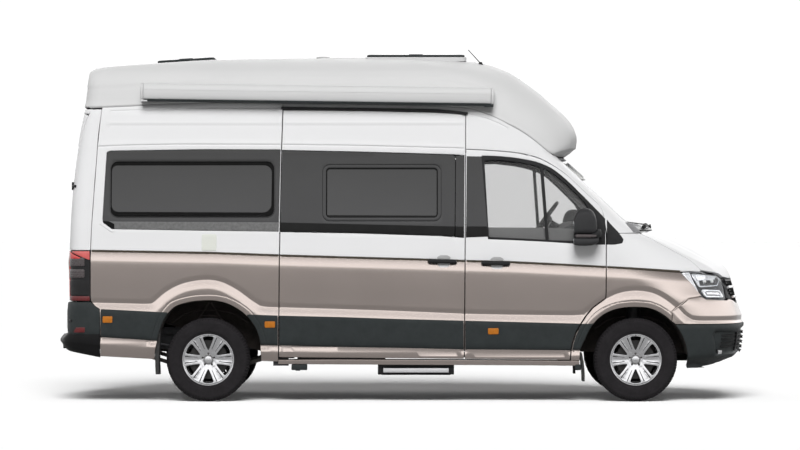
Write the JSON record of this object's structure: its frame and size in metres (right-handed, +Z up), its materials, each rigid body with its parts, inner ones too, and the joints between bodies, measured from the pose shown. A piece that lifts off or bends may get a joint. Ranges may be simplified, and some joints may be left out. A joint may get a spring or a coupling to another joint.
{
  "type": "camper van",
  "caption": "Camper van on a high-roof panel-van base, with cab doors, sliding side door, twin rear doors, awning, roof windows and entry step.",
  "frame": {"origin": "on the ground, under the centre of the overall box", "axes": "+X forward, +Y to the van's left, +Z up"},
  "size_m": [5.98, 2.416, 3.0301],
  "materials": {
    "white_paint": "gloss",
    "champagne_paint": "gloss",
    "white_gelcoat": "gloss",
    "dark_trim": "matte",
    "black_plastic": "gloss",
    "clear_glass": "clear",
    "tinted_glass": "tinted",
    "chassis_steel": "matte",
    "grey_interior": "matte",
    "dash_plastic": "matte",
    "seat_fabric": "woven",
    "tyre_rubber": "matte",
    "alloy": "satin",
    "anodised_aluminium": "satin",
    "cast_iron": "rough",
    "lamp_red": "gloss",
    "lamp_clear": "clear",
    "exhaust_steel": "satin"
  },
  "bodies": {
    "van_body": {"high_roof": "white_gelcoat", "right_body_side": "white_paint", "left_body_side": "white_paint", "sliding_door": "white_paint", "side_windows": "tinted_glass", "windscreen": "clear_glass", "headlights": "lamp_clear", "grille": "black_plastic", "front_bumper": "dark_trim", "front_wings": "champagne_paint", "cowl_panel": "black_plastic", "cab_frame": "white_paint", "tail_lamps": "lamp_red", "rear_bumper": "dark_trim", "chassis_frame": "chassis_steel", "floor_pan": "chassis_steel", "wheel_housings": "dark_trim", "front_subframe": "chassis_steel", "rear_axle": "cast_iron", "fuel_tank": "dark_trim", "exhaust": "exhaust_steel", "engine": "cast_iron", "dashboard": "dash_plastic", "cab_seats": "seat_fabric", "awning": "anodised_aluminium", "door_rail": "black_plastic", "step_housing": "black_plastic"},
    "front_door_right": {"front_door_right": "white_paint", "door_glass_right": "clear_glass", "mirror_right": "black_plastic"},
    "front_door_left": {"front_door_left": "white_paint", "door_glass_left": "clear_glass", "mirror_left": "black_plastic"},
    "rear_door_right": {"rear_door_right": "white_paint", "rear_glass_right": "tinted_glass"},
    "rear_door_left": {"rear_door_left": "white_paint", "rear_glass_left": "tinted_glass"},
    "hood": {"hood": "white_paint"},
    "steering_wheel": {"steering_wheel": "dash_plastic"},
    "knuckle_right": {"knuckle_right": "cast_iron"},
    "knuckle_left": {"knuckle_left": "cast_iron"},
    "wheel_front_right": {"tyre_front_right": "tyre_rubber", "rim_front_right": "alloy"},
    "wheel_front_left": {"tyre_front_left": "tyre_rubber", "rim_front_left": "alloy"},
    "wheel_rear_right": {"tyre_rear_right": "tyre_rubber", "rim_rear_right": "alloy"},
    "wheel_rear_left": {"tyre_rear_left": "tyre_rubber", "rim_rear_left": "alloy"},
    "entry_step": {"entry_step": "anodised_aluminium"},
    "roof_hatch_front": {"roof_hatch_front": "tinted_glass"},
    "roof_hatch_rear": {"roof_hatch_rear": "tinted_glass"}
  },
  "joints": [
    {"name": "front_door_right_hinge", "type": "hinge", "parent": "van_body", "child": "front_door_right", "pos_m": [1.748, -1.026, 1.1], "axis": [0, 0, 1], "range_deg": [0, 70]},
    {"name": "front_door_left_hinge", "type": "hinge", "parent": "van_body", "child": "front_door_left", "pos_m": [1.748, 1.026, 1.1], "axis": [0, 0, 1], "range_deg": [-70, 0]},
    {"name": "rear_door_right_hinge", "type": "hinge", "parent": "van_body", "child": "rear_door_right", "pos_m": [-2.872, -0.88, 1.5], "axis": [0, 0, 1], "range_deg": [0, 180]},
    {"name": "rear_door_left_hinge", "type": "hinge", "parent": "van_body", "child": "rear_door_left", "pos_m": [-2.872, 0.88, 1.5], "axis": [0, 0, 1], "range_deg": [-180, 0]},
    {"name": "hood_hinge", "type": "hinge", "parent": "van_body", "child": "hood", "pos_m": [2.08, 0, 1.452], "axis": [0, 1, 0], "range_deg": [-50, 0]},
    {"name": "steering_right", "type": "hinge", "parent": "van_body", "child": "knuckle_right", "pos_m": [1.997, -0.735, 0.356], "axis": [0, 0, 1], "range_deg": [-35, 35]},
    {"name": "steering_left", "type": "hinge", "parent": "van_body", "child": "knuckle_left", "pos_m": [1.997, 0.735, 0.356], "axis": [0, 0, 1], "range_deg": [-35, 35]},
    {"name": "steering_wheel_turn", "type": "hinge", "parent": "van_body", "child": "steering_wheel", "pos_m": [1.272, 0.42, 1.552], "axis": [-0.7986, 0, 0.6018], "range_deg": [-560, 560]},
    {"name": "wheel_front_right_spin", "type": "hinge", "parent": "knuckle_right", "child": "wheel_front_right", "pos_m": [1.997, -0.875, 0.356], "axis": [0, 1, 0], "continuous": true},
    {"name": "wheel_front_left_spin", "type": "hinge", "parent": "knuckle_left", "child": "wheel_front_left", "pos_m": [1.997, 0.875, 0.356], "axis": [0, 1, 0], "continuous": true},
    {"name": "wheel_rear_right_spin", "type": "hinge", "parent": "van_body", "child": "wheel_rear_right", "pos_m": [-1.643, -0.875, 0.356], "axis": [0, 1, 0], "continuous": true},
    {"name": "wheel_rear_left_spin", "type": "hinge", "parent": "van_body", "child": "wheel_rear_left", "pos_m": [-1.643, 0.875, 0.356], "axis": [0, 1, 0], "continuous": true},
    {"name": "entry_step_slide", "type": "slide", "parent": "van_body", "child": "entry_step", "axis": [0, -1, 0], "range_m": [0, 0.24]},
    {"name": "roof_hatch_front_hinge", "type": "hinge", "parent": "van_body", "child": "roof_hatch_front", "pos_m": [-0.297, 0, 2.97], "axis": [0, 1, 0], "range_deg": [-50, 0]},
    {"name": "roof_hatch_rear_hinge", "type": "hinge", "parent": "van_body", "child": "roof_hatch_rear", "pos_m": [-1.622, 0, 2.95], "axis": [0, 1, 0], "range_deg": [0, 50]}
  ],
  "couplings": [
    {"joint": "steering_left", "follows": "steering_right", "ratio": 1},
    {"joint": "steering_wheel_turn", "follows": "steering_right", "ratio": 15}
  ]
}
